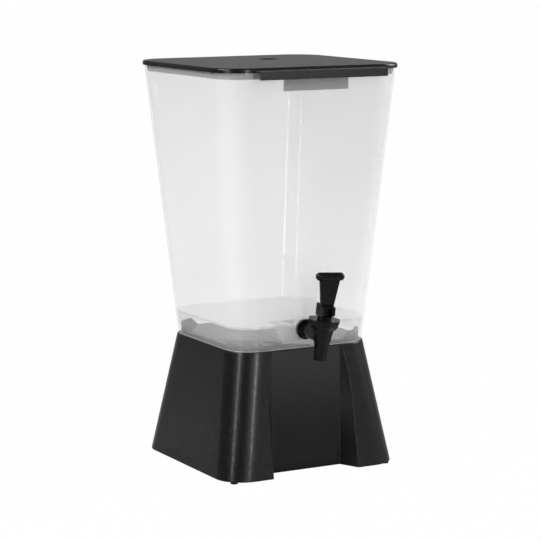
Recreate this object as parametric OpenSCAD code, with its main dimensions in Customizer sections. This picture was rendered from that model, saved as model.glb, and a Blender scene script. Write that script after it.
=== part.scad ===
// Square drinks dispenser: a flared stand, a tapered translucent tank, a lift-off lid
// and a spring-closed tap. Millimetres, +Z up, the tap faces -Y. The origin is on the
// surface it stands on, under the middle of the whole object.

/* [Stand] */
// Height of the ledge that the tank stands on, above the surface
ledge_z = 174; // [150:1:200]
// Width of the stand at its lower edge
stand_low_w = 271.4; // [255:0.2:300]
// Width of the stand at the ledge
stand_top_w = 213.6; // [208:0.2:225]
// Radius of the stand's upright corners
stand_r = 40; // [30:0.5:45]
// Wall thickness of the stand
stand_wall = 3; // [2.5:0.1:4]
// Thickness of the stand's top deck
deck_t = 3; // [2:0.1:4]
// Height of the deck inside the tank's skirt, above the ledge
deck_rise = 6; // [4.5:0.5:8]
// Height of the corner lugs above the ledge
lug_h = 16; // [12:0.5:20]
// Wall thickness of the corner lugs
lug_t = 4; // [3:0.1:6]
// Length of a lug's straight top, across the corner
lug_top_w = 38; // [25:1:45]
// Length of a lug at its foot, across the corner
lug_foot_w = 56; // [48:1:62]
// Gap between the tank's skirt and the deck and lugs inside it
skirt_clear = 1; // [0.5:0.1:2]

/* [Cup recess] */
// Width of the flat panel at the back of the recess
panel_w = 108; // [95:1:116]
// How far the panel stands behind the front edge of the ledge
panel_set = 0.8; // [0.5:0.1:1.5]
// Width between the legs, low down
opening_w = 133.6; // [120:0.2:145]
// Width between the legs at the ledge
opening_top_w = 112; // [110:0.5:118]
// Height above the surface where the legs' edges start to arch inwards
arch_z = 80; // [60:1:125]
// Rounding of the legs' edges
leg_edge_r = 2.5; // [2:0.5:6]

/* [Feet] */
// Height of the feet under the stand
foot_h = 3; // [2:0.5:5]
// Diameter of a foot
foot_d = 10; // [8:0.5:12]
// Diameter of a foot's stem
foot_stem_d = 5; // [4:0.25:6]
// Length of a foot's stem
foot_stem_h = 6; // [4:0.5:8]
// Wall round a foot's stem, and over its end
foot_boss_wall = 3.5; // [2.5:0.5:4]

// How far a foot stays inside the stand's lower corner
foot_inset = 1; // [0.5:0.5:3]
// Gap round pieces that are pressed or screwed together
press_clear = 0.05; // [0.03:0.01:0.1]

/* [Tank] */
// Width of the tank at its lower edge
tank_low_w = 210.7; // [207:0.1:212]
// Width of the tank at its upper edge
tank_top_w = 277.9; // [265:0.1:285]
// Height of the tank
tank_h = 382.5; // [340:0.5:420]
// Radius of the tank's upright corners
tank_r = 39.6; // [30:0.2:43]
// Wall thickness of the tank
tank_wall = 2.8; // [2.2:0.1:3.6]
// Height of the floor's upper face above the tank's lower edge
floor_rise = 34; // [30:0.5:40]
// Thickness of the floor
floor_t = 3; // [2:0.1:4]
// Outer half width of the sump at the floor
sump_half_w = 46; // [42:0.5:50]
// Depth of the sump under the floor's upper face, to its outside
sump_drop = 33; // [31:0.1:33.5]
// Depth of the sump from the front of the tank at the tank's lower edge
sump_len = 36; // [34:0.5:42]

/* [Lid] */
// How far the lid stands out past the tank's upper edge
lid_over = 2.45; // [2:0.05:4]
// Radius of the lid's corners
lid_r = 42.4; // [38:0.2:46]
// How far the lid's rim comes down outside the tank
lid_rim_drop = 2.1; // [1:0.1:5]
// Thickness of the lid at its rim, over the tank's edge
lid_t = 4.3; // [3.5:0.1:5]
// Rise of the lid's crown over its rim
crown_h = 2.8; // [1.5:0.1:5]
// Rounding of the lid's upper edge
lid_edge_r = 2.8; // [0.8:0.1:3.2]
// Gap between the lid and the tank
lid_clear = 0.4; // [0.3:0.05:0.8]
// Wall thickness of the plug skirt inside the tank
plug_t = 2; // [1.5:0.1:3]
// How far the plug skirt reaches down inside the tank
plug_h = 11; // [6:0.5:16]
// Width of the deeper tab at the front of the plug skirt
tab_w = 99; // [60:1:130]
// How far the tab reaches down inside the tank
tab_h = 28; // [18:0.5:36]
// Width of the front pull lip
lip_w = 195; // [160:1:199]
// How far the pull lip stands out in front of the lid
lip_out = 16.5; // [12:0.5:20]
// Thickness of the pull lip
lip_t = 3; // [2:0.1:3.5]
// How far the lip's upper face lies under the lid's upper edge
lip_set = 3.6; // [3.3:0.1:5]
// Thickness of the lip's turned-down flange
flange_t = 4; // [3:0.1:5]
// Height of the lip's turned-down flange
flange_h = 11.7; // [7:0.1:14]
// Diameter of the dimple in the middle of the lid
dimple_d = 27; // [26.5:0.5:40]
// Depth of the dimple in the middle of the lid
dimple_h = 3.4; // [1:0.1:4]
// Diameter of the dimple's flat bottom
dimple_floor_d = 25.5; // [10:0.5:26]

/* [Tap] */
// Height of the tap's shank above the tank's lower edge, on the outside of the front wall
tap_rise = 26.5; // [24:0.5:30]
// How far the tap's hole lies left of the tank's middle
tap_side = 2.4; // [0:0.2:4]
// Turn of the tap about its shank, as it was tightened
tap_turn = 4.2; // [-6:0.2:6]
// Distance from the front wall to the middle of the tap's body
tap_reach = 47; // [40:0.5:60]
// Diameter of the threaded shank
shank_d = 15.8; // [14:0.1:18]
// Length of the shank inside the outer face of the wall
shank_in = 24; // [22:0.5:26]
// Diameter of the waterway in the shank
waterway_d = 10.5; // [8:0.1:11]
// Diameter of the neck between flange and body
neck_d = 18.5; // [17:0.1:20]
// Diameter of the tap's flange
tap_flange_d = 28.5; // [25:0.5:34]
// Thickness of the tap's flange
tap_flange_t = 2; // [1.5:0.1:4]
// Width of the body, flat to flat, under the bonnet
body_top_w = 28.5; // [26.5:0.1:30]
// Width of the body, flat to flat, at the valve seat
body_seat_w = 20.4; // [19.6:0.1:22]
// Width of the spout, flat to flat
spout_w = 18; // [16:0.1:19.4]
// Length of the body from the shank's axis down to the outlet
spout_drop = 31.2; // [28:0.1:40]
// Height of the body's shoulder, under the bonnet, above the shank's axis
shoulder_z = 12.4; // [11.6:0.1:15]
// Diameter of the outlet
outlet_d = 11.6; // [8:0.1:12]
// Diameter of the valve chamber
chamber_d = 16.4; // [15.6:0.1:16.8]
// Depth of the valve seat under the shank's axis
seat_drop = 10; // [7:0.1:12]
// Diameter of the body's threaded top
thread_d = 24; // [21:0.1:25]
// Height of the body's threaded top
thread_h = 7; // [5:0.1:9]
// Rounding of the edges between the body's flats
flat_edge_r = 1.5; // [0.5:0.1:2.5]
// Turn of the body's and bonnet's flats from straight ahead
flats_turn = 13; // [0:0.5:22]

/* [Seals and nut] */
// Thickness of the outer gasket
outer_gasket_t = 2; // [1:0.1:3]
// Thickness of the inner gasket
inner_gasket_t = 2.4; // [1:0.1:3]
// Thickness of the slip washer
slip_washer_t = 1.4; // [1:0.1:2]
// Diameter of the gaskets
gasket_d = 25; // [22:0.1:27]
// Thickness of the ring under the bonnet
bonnet_seal_t = 1; // [0.6:0.1:1.4]
// Thickness of the O-ring round the stem
stem_seal_t = 1.8; // [1.4:0.1:2]
// Diameter of the nut's hub
hub_d = 23; // [21:0.1:25]
// Length of the nut's hub
hub_len = 11; // [8:0.5:12]
// Span of the nut's wings
wing_span = 62; // [44:1:64]
// Thickness of the nut's wings
wing_t = 4; // [3:0.1:5]
// Turn of the wings from level
wing_turn = 6; // [5:1:18]
// Clearance of the shank in what it passes through
shank_clear = 0.35; // [0.2:0.05:0.6]

/* [Bonnet] */
// Width of the collar, flat to flat, at its lower edge
collar_low_w = 36; // [33:0.1:38]
// Width of the collar, flat to flat, at its upper edge
collar_top_w = 42.4; // [40:0.1:45]
// Height of the collar
collar_h = 13; // [12:0.1:16]
// Gap between the collar and the body's shoulder
collar_gap = 0.2; // [0.1:0.1:0.4]
// Height of the cone that scallops the collar's lower edge, where its flats run out
scallop_h = 9.8; // [7:0.1:12]
// Diameter of the boss under the lever's cams
boss_d = 21; // [19:0.1:24]
// Height of the boss above the collar
boss_h = 3.7; // [3:0.1:5]
// Depth of the spring's pocket over the body's top
spring_pocket_h = 3.4; // [2.5:0.1:4]
// Diameter of the spring's pocket
spring_pocket_d = 14.4; // [13.8:0.1:15]

/* [Valve] */
// Diameter of the stem
stem_d = 6; // [5:0.1:6.4]
// Sliding gap round the stem
stem_clear = 0.3; // [0.2:0.05:0.4]
// Diameter of the seat cup's plug
cup_d = 13.2; // [12.8:0.1:14]
// Height of the seat cup's plug
cup_h = 4.5; // [3:0.1:6]
// Wall of the seat cup's sleeve
cup_sleeve_t = 1.5; // [1:0.1:2]
// Length of the seat cup's sleeve above the plug
cup_sleeve_h = 9; // [7:0.1:10]
// Diameter of the stem's shoulder under the spring
stem_shoulder_d = 13; // [12.8:0.1:13.4]
// Thickness of the stem's shoulder
stem_shoulder_t = 2; // [1.5:0.1:3]
// Diameter of the spring's wire
wire_d = 1.2; // [0.9:0.05:1.4]
// Diameter of the spring, to the middle of its wire
coil_d = 10; // [9:0.1:10.6]
// Turns of the spring
coil_turns = 5; // [4:1:5]

/* [Lever] */
// Travel of the lever, forwards
lever_travel = 45; // [30:1:50]
// Lift of the stem for each radian of the lever's travel
cam_rate = 4; // [3:0.1:5]
// Height of the pin over the cams' flat
cam_h = 8.5; // [7.5:0.1:10]
// Gap between the cams and the boss
cam_clear = 0.3; // [0.2:0.05:0.5]
// Diameter of the pin
pin_d = 3; // [2.5:0.1:3.4]
// Turning gap round the pin
pin_clear = 0.05; // [0.03:0.01:0.1]
// How far the pin's ends lie inside the ears' outer faces
pin_set = 0.9; // [0.2:0.1:1]
// Width across the two ears
ears_w = 19.2; // [17:0.1:21]
// Width of the slot between the ears
slot_w = 9.2; // [8:0.1:10]
// How far the ears reach behind the pin
ear_back = 9.5; // [8:0.1:11]
// Width of the blunt edge at the front of the cams
cam_nose_t = 1; // [0.6:0.1:1.5]
// How far the ears reach above the pin
ear_top = 8.5; // [7:0.1:10]
// Height of the shelf in front of the paddle, above the pin
shelf_z = 5.6; // [5.2:0.1:6.2]
// Thickness of the web under the shelf, which joins the ears in front of the stem
web_t = 2.4; // [1.5:0.1:3]
// Thickness of the paddle
paddle_t = 5; // [4:0.1:6]
// Width of the paddle at its root
paddle_low_w = 19.2; // [14:0.1:20]
// Width of the paddle under the cross bar
paddle_top_w = 31; // [20:0.1:34]
// Height of the cross bar's middle above the pin
bar_z = 46.5; // [35:0.1:60]
// Diameter of the cross bar
bar_d = 11.4; // [8:0.1:12]
// Length of the cross bar
bar_len = 43.7; // [38:0.1:50]

/* [Hidden] */
$fn = 64;
// Facets of a tank, stand or lid corner
corner_steps = 12;
// Overrun of a cut past the face it opens
over = 1;

// Half widths of stand and tank at a height above the surface
function stand_half(z) = (stand_low_w + (stand_top_w - stand_low_w) * (z - foot_h) / (ledge_z - foot_h)) / 2;
function tank_half(z) = (tank_low_w + (tank_top_w - tank_low_w) * (z - ledge_z) / tank_h) / 2;
tank_slope = (tank_top_w - tank_low_w) / 2 / tank_h;
wall_lean = atan(tank_slope);
floor_z = ledge_z + floor_rise;
tank_top_z = ledge_z + tank_h;
lid_top_z = tank_top_z + lid_t;
lid_half = tank_top_w / 2 + lid_over;
// Half width of what stands inside the tank's skirt
deck_half = tank_low_w / 2 - tank_wall - skirt_clear;
deck_r = tank_r - tank_wall - skirt_clear;
// Distance of a foot from the stand's middle, each way
foot_spot = stand_low_w / 2 - stand_r + (stand_r - foot_d / 2 - foot_inset) * cos(45);

// Heights in the tap's own frame, whose origin is on the shank's axis at the outer wall
tap_z = ledge_z + tap_rise;
seat_z = -seat_drop;
thread_z = shoulder_z + thread_h;
collar_z = shoulder_z + collar_gap;
collar_top_z = collar_z + collar_h;
boss_z = collar_top_z + boss_h;
pin_z = boss_z + cam_clear + cam_h;
spring_ceiling_z = thread_z + bonnet_seal_t + spring_pocket_h;
stem_shoulder_z = seat_z + cup_h + cup_sleeve_h;
spring_floor_z = stem_shoulder_z + stem_shoulder_t;
// The O-ring's place in the bonnet, midway between the spring's pocket and the boss's top
seal_z = (spring_ceiling_z + boss_z) / 2;
seal_groove_d = stem_d + 4 * press_clear + 2 * stem_seal_t;
wall_t = tank_wall * cos(wall_lean);
flange_y = -outer_gasket_t - tap_flange_t;
washer_y = wall_t + inner_gasket_t;
nut_y = washer_y + slip_washer_t;

// How far a point of the tap's own frame stands in front of the wall there
function tap_front(p) =
  (p.z * cos(tap_turn) - p.x * sin(tap_turn)) * sin(wall_lean) - p.y * cos(wall_lean);

// The front-most point, of the collar, the cross bar or the lip, sets the middle of the object
bar_end = bar_len / 2 - bar_d / 2;
bar_front = tap_front([-bar_end, -tap_reach - paddle_t / 2, pin_z + bar_z]) + bar_d / 2;
collar_front = max([for (p = eight_sides(collar_top_w, collar_top_z)) tap_front(p - [0, tap_reach, 0])]);
front_reach = max(tank_half(tap_z) + max(bar_front, collar_front), lid_half + lip_out);
centre_y = (front_reach - lid_half) / 2;

stand_black = [0.17, 0.17, 0.17];
tank_clear = [0.92, 0.94, 0.95, 0.45];
tap_black = [0.13, 0.13, 0.13];
seal_grey = [0.55, 0.55, 0.53];
fitting_white = [0.85, 0.85, 0.83];
steel = [0.72, 0.73, 0.74];

// Everything is placed from the middle of the footprint of the whole object
module placed() {
  translate([0, centre_y, 0]) children();
}

// The tap's frame: -Y along the shank, out of the leaning front wall
module at_tap() {
  placed()
    translate([-tap_side, -tank_half(tap_z), tap_z])
      rotate([wall_lean, 0, 0])
        rotate([0, tap_turn, 0])
          children();
}

// The tap body's own upright axis
module at_tap_axis() {
  at_tap() translate([0, -tap_reach, 0]) children();
}

// The lever's frame: X along the pin
module at_pin() {
  at_tap_axis() translate([0, 0, pin_z]) children();
}

// A round bar along Y, from y0 to y1
module bar_y(d, y0, y1) {
  translate([0, y1, 0]) rotate([90, 0, 0]) cylinder(d = d, h = y1 - y0);
}

// A round bar along X, about the middle
module bar_x(d, len) {
  rotate([0, 90, 0]) cylinder(d = d, h = len, center = true);
}

// One level of a loft: a square with round corners, anticlockwise from above
function round_square(half, r, z) = [
  for (q = [0:3]) for (i = [0:corner_steps])
    let (a = 90 * q + 90 * i / corner_steps, c = half - r)
      [c * (q == 0 || q == 3 ? 1 : -1) + r * cos(a), c * (q < 2 ? 1 : -1) + r * sin(a), z]
];

// Solid through levels of equal point counts, listed upwards
module loft(levels) {
  n = len(levels[0]);
  m = len(levels);
  sides = [
    for (k = [0:m - 2]) for (i = [0:n - 1])
      let (j = (i + 1) % n, low = k * n, high = low + n)
        each [[low + i, high + i, high + j], [low + i, high + j, low + j]]
  ];
  floor_face = [for (i = [0:n - 1]) i];
  roof_face = [for (i = [n - 1:-1:0]) (m - 1) * n + i];
  polyhedron([for (level = levels) each level], concat([floor_face], sides, [roof_face]), convexity = 6);
}

module round_square_2d(w, r) {
  square([w - 2 * r, w], center = true);
  square([w, w - 2 * r], center = true);
  for (x = [-1, 1], y = [-1, 1]) translate([x, y] * (w / 2 - r)) circle(r);
}

// Half the width between the legs: straight low down, arching in towards the ledge
function opening_half(z) =
  let (s = max(0, (z - arch_z) / (ledge_z - arch_z)))
    opening_w / 2 - (opening_w - opening_top_w) / 2 * s * s;

// One side of the recess at height z, from the panel to in front of the leg's rounded edge.
// The rounding takes at most a share of the side, which is short near the ledge.
function recess_side(z, wall) =
  let (
    skim = 0.02,
    share = 0.7,
    panel = [panel_w / 2 + wall, wall + panel_set - stand_top_w / 2],
    edge = [opening_half(z) + wall, -stand_half(z) - skim],
    run = edge - panel,
    u = run / norm(run),
    turn = acos(u.x),
    r = min(leg_edge_r, share * norm(run) / tan(turn / 2)),
    t = r * tan(turn / 2),
    centre = edge - u * t + r * [-u.y, u.x],
    from = atan2(-u.x, u.y)
  )
    concat(
      [[panel.x, panel.y, z]],
      [
        for (i = [0:4])
          let (a = from + (-90 - from) * i / 4)
            [centre.x + r * cos(a), centre.y + r * sin(a), z]
      ],
      [[edge.x + t, edge.y - stand_low_w / 4, z]]
    );

// The cup recess as a solid to cut, or with a wall round it
module recess(wall) {
  heights = [-over, arch_z / 3, 2 * arch_z / 3, arch_z];
  arch = [for (i = [1:8]) arch_z + (ledge_z + over / 4 - arch_z) * i / 8];
  loft([
    for (z = concat(heights, arch))
      let (side = recess_side(z, wall), n = len(side))
        concat([for (p = side) [-p.x, p.y, p.z]], [for (i = [n - 1:-1:0]) side[i]])
  ]);
}

module foot_places() {
  for (x = [-1, 1], y = [-1, 1]) translate([x * foot_spot, y * foot_spot, 0]) children();
}

// Room in the deck for the tank's sump
module sump_notch_2d(wall) {
  w = 2 * (sump_half_w + skirt_clear + wall);
  back = sump_len + skirt_clear + wall - tank_low_w / 2;
  translate([-w / 2, -stand_top_w / 2 - over]) square([w, back + stand_top_w / 2 + over]);
}

module corner_lugs() {
  for (q = [0:3])
    intersection() {
      translate([0, 0, ledge_z - deck_t / 2])
        linear_extrude(lug_h + deck_t / 2)
          difference() {
            round_square_2d(2 * deck_half, deck_r);
            round_square_2d(2 * (deck_half - lug_t), deck_r - lug_t);
          }
      rotate([0, 0, 45 + 90 * q])
        translate([0, 0, ledge_z])
          rotate([90, 0, 90])
            linear_extrude(stand_low_w)
              polygon([
                [-lug_foot_w / 2, -deck_t], [lug_foot_w / 2, -deck_t],
                [lug_foot_w / 2, deck_rise], [lug_top_w / 2, lug_h],
                [-lug_top_w / 2, lug_h], [-lug_foot_w / 2, deck_rise]
              ]);
    }
}

module base_shell() {
  color(stand_black)
    placed() {
      difference() {
        union() {
          difference() {
            loft([for (z = [foot_h, ledge_z]) round_square(stand_half(z), stand_r, z)]);
            recess(0);
          }
          translate([0, 0, ledge_z - deck_t / 2])
            linear_extrude(deck_rise + deck_t / 2)
              difference() {
                round_square_2d(2 * deck_half, deck_r);
                sump_notch_2d(0);
              }
          corner_lugs();
        }
        difference() {
          loft([
            for (z = [foot_h - over, ledge_z - deck_t])
              round_square(stand_half(z) - stand_wall, stand_r - stand_wall, z)
          ]);
          recess(stand_wall);
          foot_bosses();
        }
        translate([0, 0, ledge_z - 2 * deck_t])
          linear_extrude(deck_rise + deck_t)
            difference() {
              round_square_2d(2 * (deck_half - deck_t), deck_r - deck_t);
              sump_notch_2d(deck_t);
            }
        foot_places()
          translate([0, 0, foot_h - over])
            cylinder(d = foot_stem_d + 2 * press_clear, h = foot_stem_h + over + press_clear);
      }
    }
}

// Posts inside the stand's corners that the feet press into
module foot_bosses() {
  foot_places()
    cylinder(d = foot_stem_d + 2 * foot_boss_wall, h = foot_h + foot_stem_h + foot_boss_wall);
}

// Rubber foot: a pad with a rounded lower edge and a stem
module foot(x, y) {
  edge = foot_h / 3;
  stem_top = foot_h + foot_stem_h;
  color(seal_grey)
    placed()
      translate([x * foot_spot, y * foot_spot, 0])
        rotate_extrude()
          polygon(concat(
            [[0, 0]],
            [for (a = [-90:15:0]) [foot_d / 2 - edge + edge * cos(a), edge + edge * sin(a)]],
            [[foot_d / 2, foot_h], [foot_stem_d / 2, foot_h], [foot_stem_d / 2, stem_top], [0, stem_top]]
          ));
}

module foot_front_left() { foot(-1, -1); }
module foot_front_right() { foot(1, -1); }
module foot_back_left() { foot(-1, 1); }
module foot_back_right() { foot(1, 1); }

// The tank's outside shrunk by inset, between two heights
module tank_block(inset, z0, z1) {
  loft([for (z = [z0, z1]) round_square(tank_half(z) - inset, tank_r - inset, z)]);
}

// Half-oval sump prism, run up to a top above the floor's upper face
module sump_block(inset, top) {
  a = sump_half_w - inset;
  b = sump_drop - inset;
  back = sump_len - inset - tank_low_w / 2;
  translate([0, back, floor_z])
    rotate([90, 0, 0])
      linear_extrude(back + tank_top_w)
        polygon(concat(
          [for (i = [0:20]) let (t = 180 + 9 * i) [a * cos(t), b * sin(t)]],
          [[a, top], [-a, top]]
        ));
}

module reservoir() {
  color(tank_clear)
    difference() {
      placed()
        difference() {
          tank_block(0, ledge_z, tank_top_z);
          tank_block(tank_wall, floor_z, tank_top_z + over);
          difference() {
            tank_block(tank_wall, ledge_z - over, floor_z - floor_t);
            sump_block(0, 0);
          }
          intersection() {
            tank_block(tank_wall, ledge_z - over, floor_z + over);
            sump_block(tank_wall, over / 2);
          }
        }
      at_tap() bar_y(shank_d + 2 * shank_clear, -over, wall_t + over);
    }
}

// The lid's outside, from its rim's lower edge over the rounded edge to the crown
module lid_block() {
  rim = [
    [0, tank_top_z - lid_rim_drop],
    [0, lid_top_z - lid_edge_r],
    for (a = [30, 60]) [lid_edge_r * (1 - cos(a)), lid_top_z - lid_edge_r * (1 - sin(a))]
  ];
  // The crown rises as a parabola over the inset from the rim
  crown = [
    for (s = [0, 0.06, 0.16, 0.3, 0.5, 0.7])
      [lid_edge_r + s * (lid_half - lid_edge_r), lid_top_z + crown_h * s * (2 - s)]
  ];
  loft([
    for (p = concat(rim, crown))
      round_square(lid_half - p.x, lid_r * (1 - p.x / lid_half), p.y)
  ]);
}

// Wall of the lid's plug, which follows the tank's leaning wall down to z0
module plug_wall(z0) {
  z1 = tank_top_z + lid_t / 2;
  gap = tank_wall + lid_clear;
  difference() {
    tank_block(gap, z0, z1);
    tank_block(gap + plug_t, z0 - over, z1 + over);
  }
}

// The pull lip's section: a shelf with a turned-down flange, its outer edge rounded
module lip_2d() {
  top = lid_top_z - lip_set;
  front = lid_half + lip_out;
  r = lip_t / 2;
  polygon(concat(
    [[lid_half - lid_over / 2, top]],
    [for (a = [90:-15:0]) [front - r + r * cos(a), top - r + r * sin(a)]],
    [[front, top - flange_h], [front - flange_t, top - flange_h], [front - flange_t, top - lip_t - r]],
    [for (a = [0:30:90]) [front - flange_t - r + r * cos(a), top - lip_t - r + r * sin(a)]],
    [[lid_half - lid_over / 2, top - lip_t]]
  ));
}

module lid() {
  crown_z = lid_top_z + crown_h;
  color(stand_black)
    placed() {
      difference() {
        lid_block();
        translate([0, 0, tank_top_z - lid_rim_drop - over])
          linear_extrude(lid_rim_drop + over)
            round_square_2d(tank_top_w + 2 * lid_clear, tank_r + lid_clear);
        translate([0, 0, crown_z - dimple_h])
          cylinder(d1 = dimple_floor_d, d2 = dimple_d, h = dimple_h);
      }
      plug_wall(tank_top_z - plug_h);
      intersection() {
        plug_wall(tank_top_z - tab_h);
        translate([-tab_w / 2, -tank_top_w, 0]) cube([tab_w, tank_top_w, tank_top_z - plug_h / 2]);
      }
      translate([-lip_w / 2, 0, 0])
        rotate([90, 0, 90])
          mirror([1, 0, 0])
            linear_extrude(lip_w)
              lip_2d();
    }
}

// Level of an eight-sided loft with rounded edges, w across its flats
function eight_sides(w, z) = [
  for (i = [0:7], a = [-1, 0, 1])
    let (
      turn = flats_turn + 22.5 + 45 * i,
      reach = (w / 2 - flat_edge_r) / cos(22.5),
      p = reach * [cos(turn), sin(turn)] + flat_edge_r * [cos(turn + 15 * a), sin(turn + 15 * a)]
    )
      [p.x, p.y, z]
];

// The body's width narrows to the seat and runs on nearly straight to the outlet
function body_w(z) = z > seat_z
  ? body_seat_w + (body_top_w - body_seat_w) * (z - seat_z) / (shoulder_z - seat_z)
  : spout_w + (body_seat_w - spout_w) * pow((z + spout_drop) / (seat_z + spout_drop), 2);

module tap_body() {
  levels = concat([for (i = [0:5]) -spout_drop + (spout_drop + seat_z) * i / 5], [shoulder_z]);
  color(tap_black)
    difference() {
      union() {
        at_tap_axis() {
          loft([for (z = levels) eight_sides(body_w(z), z)]);
          translate([0, 0, shoulder_z - over]) cylinder(d = thread_d, h = thread_h + over);
        }
        at_tap() {
          bar_y(neck_d, -tap_reach, -outer_gasket_t);
          bar_y(tap_flange_d, flange_y, -outer_gasket_t);
          bar_y(shank_d, -outer_gasket_t - over, shank_in);
        }
      }
      at_tap_axis() {
        translate([0, 0, seat_z]) cylinder(d = chamber_d, h = thread_z - seat_z + over);
        translate([0, 0, -spout_drop - over]) cylinder(d = outlet_d, h = spout_drop + seat_z + 2 * over);
      }
      at_tap() bar_y(waterway_d, -tap_reach, shank_in + over);
    }
}

// Flat ring on the shank, from y0 towards the inside
module shank_ring(d, y0, t) {
  at_tap()
    difference() {
      bar_y(d, y0, y0 + t);
      bar_y(shank_d + 2 * shank_clear, y0 - over, y0 + t + over);
    }
}

module outer_gasket() {
  color(seal_grey) shank_ring(gasket_d, -outer_gasket_t, outer_gasket_t);
}

module inner_gasket() {
  color(seal_grey) shank_ring(gasket_d, wall_t, inner_gasket_t);
}

module slip_washer() {
  color(fitting_white) shank_ring(gasket_d, washer_y, slip_washer_t);
}

// Wing nut: a hub with two wings that sweep back from the wall, set in from the hub's faces
module wing_nut() {
  root_x = (shank_d + hub_d) / 4;
  root_y = nut_y + wing_t / 4;
  hub_y = nut_y + hub_len;
  color(fitting_white)
    at_tap()
      difference() {
        union() {
          bar_y(hub_d, nut_y, hub_y);
          rotate([0, wing_turn, 0])
            for (side = [0, 180])
              rotate([0, side, 0])
                translate([0, 0, -wing_t / 2])
                  linear_extrude(wing_t)
                    polygon([
                      [root_x, root_y], [hub_d / 2 + wing_t / 2, root_y],
                      [wing_span / 2, hub_y - hub_len / 2], [wing_span / 2, hub_y + wing_t],
                      [wing_span / 2 - wing_t, hub_y + 1.5 * wing_t],
                      [hub_d / 2 + wing_t / 2, hub_y - wing_t / 4], [root_x, hub_y - wing_t / 4]
                    ]);
        }
        bar_y(shank_d + 2 * press_clear, nut_y - over, hub_y + over);
      }
}

// Collar that flares upwards in eight flats, its lower edge scalloped where they meet a cone
module bonnet() {
  corner_r = collar_top_w / 2 / cos(22.5) + over;
  color(tap_black)
    at_tap_axis()
      difference() {
        union() {
          intersection() {
            loft([eight_sides(collar_low_w, collar_z), eight_sides(collar_top_w, collar_top_z)]);
            translate([0, 0, collar_z]) {
              cylinder(r1 = collar_low_w / 2 - collar_gap, r2 = corner_r, h = scallop_h);
              translate([0, 0, scallop_h]) cylinder(r = corner_r, h = collar_h);
            }
          }
          translate([0, 0, collar_top_z - over]) cylinder(d = boss_d, h = boss_h + over);
        }
        translate([0, 0, collar_z - over])
          cylinder(d = thread_d + 2 * shank_clear, h = thread_z + bonnet_seal_t - collar_z + over);
        translate([0, 0, thread_z]) cylinder(d = spring_pocket_d, h = spring_ceiling_z - thread_z);
        translate([0, 0, thread_z]) cylinder(d = stem_d + 2 * stem_clear, h = boss_z);
        translate([0, 0, seal_z - stem_seal_t / 2 - press_clear])
          cylinder(d = seal_groove_d, h = stem_seal_t + 2 * press_clear);
      }
}

module bonnet_seal() {
  color(seal_grey)
    at_tap_axis()
      translate([0, 0, thread_z])
        difference() {
          cylinder(d = thread_d, h = bonnet_seal_t);
          translate([0, 0, -over]) cylinder(d = chamber_d, h = bonnet_seal_t + 2 * over);
        }
}

module stem_seal() {
  color(seal_grey)
    at_tap_axis()
      translate([0, 0, seal_z])
        rotate_extrude()
          translate([stem_d / 2 + press_clear + stem_seal_t / 2, 0])
            circle(d = stem_seal_t);
}

// Stem with a shoulder for the spring and a round head in the lever's slot
module valve_stem() {
  head_d = 2 * (shelf_z - cam_clear - pin_clear);
  head_w = slot_w - 2 * cam_clear;
  low = seat_z + cup_h / 2;
  color(tap_black)
    at_tap_axis()
      difference() {
        union() {
          translate([0, 0, low]) cylinder(d = stem_d, h = pin_z - low);
          translate([0, 0, stem_shoulder_z]) cylinder(d = stem_shoulder_d, h = stem_shoulder_t);
          translate([0, 0, pin_z]) bar_x(head_d, head_w);
        }
        translate([0, 0, pin_z]) bar_x(pin_d + 2 * pin_clear, ears_w);
      }
}

// Silicone cup: a flat-faced plug on the seat and a sleeve on the stem
module seat_cup() {
  sleeve = stem_d / 2 + press_clear;
  color(seal_grey)
    at_tap_axis()
      translate([0, 0, seat_z])
        rotate_extrude()
          polygon([
            [0, 0], [cup_d / 2, 0], [cup_d / 2, cup_h * 2 / 3], [sleeve + cup_sleeve_t, cup_h],
            [sleeve + cup_sleeve_t, cup_h + cup_sleeve_h], [sleeve, cup_h + cup_sleeve_h],
            [sleeve, cup_h / 2 - press_clear], [0, cup_h / 2 - press_clear]
          ]);
}

// Spring: one tube along a helix, 8 rings to a turn, 6 sides
coil_steps = 8 * coil_turns;
coil_low = spring_floor_z + wire_d / 2 + press_clear;
coil_high = spring_ceiling_z - wire_d / 2 - press_clear;
function coil_point(i) =
  let (a = 360 * i / 8)
    [coil_d / 2 * cos(a), coil_d / 2 * sin(a), coil_low + (coil_high - coil_low) * i / coil_steps];
function coil_ring(i) =
  let (a = 360 * i / 8, c = coil_point(i))
    [for (s = [0:5]) c + wire_d / 2 * [cos(60 * s) * cos(a), cos(60 * s) * sin(a), sin(60 * s)]];
coil_gap = min([
  for (i = [0:coil_steps - 6], j = [i + 6:coil_steps]) norm(coil_point(i) - coil_point(j))
]) - wire_d;
echo(least_gap_between_turns = coil_gap);

module stem_spring() {
  n = coil_steps + 1;
  color(steel)
    at_tap_axis()
      polyhedron(
        [for (i = [0:coil_steps]) each coil_ring(i)],
        concat(
          [[for (s = [0:5]) s]],
          [for (i = [0:coil_steps - 1], s = [0:5])
            let (a = 6 * i + s, b = 6 * i + (s + 1) % 6)
              each [[a, a + 6, b + 6], [a, b + 6, b]]],
          [[for (s = [5:-1:0]) 6 * (n - 1) + s]]
        ),
        convexity = 8
      );
}

// Cam edge of an ear: its distance from the pin grows at a steady rate with the lever's
// travel, so that the stem lifts in step. It is an involute; y and z from the pin.
function cam_point(a) =
  let (reach = cam_h + cam_rate * a * PI / 180)
    [-reach * sin(a) - cam_rate * cos(a), -reach * cos(a) + cam_rate * sin(a)];

module ear_2d() {
  nose = cam_point(lever_travel);
  polygon(concat(
    [[ear_back, ear_top], [ear_back, -cam_h]],
    [for (i = [0:9]) cam_point(lever_travel * i / 9)],
    [[nose.x, nose.y + cam_nose_t], [nose.x + cam_nose_t, shelf_z]],
    [[-paddle_t, shelf_z], [-paddle_t, ear_top]]
  ));
}

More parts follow.
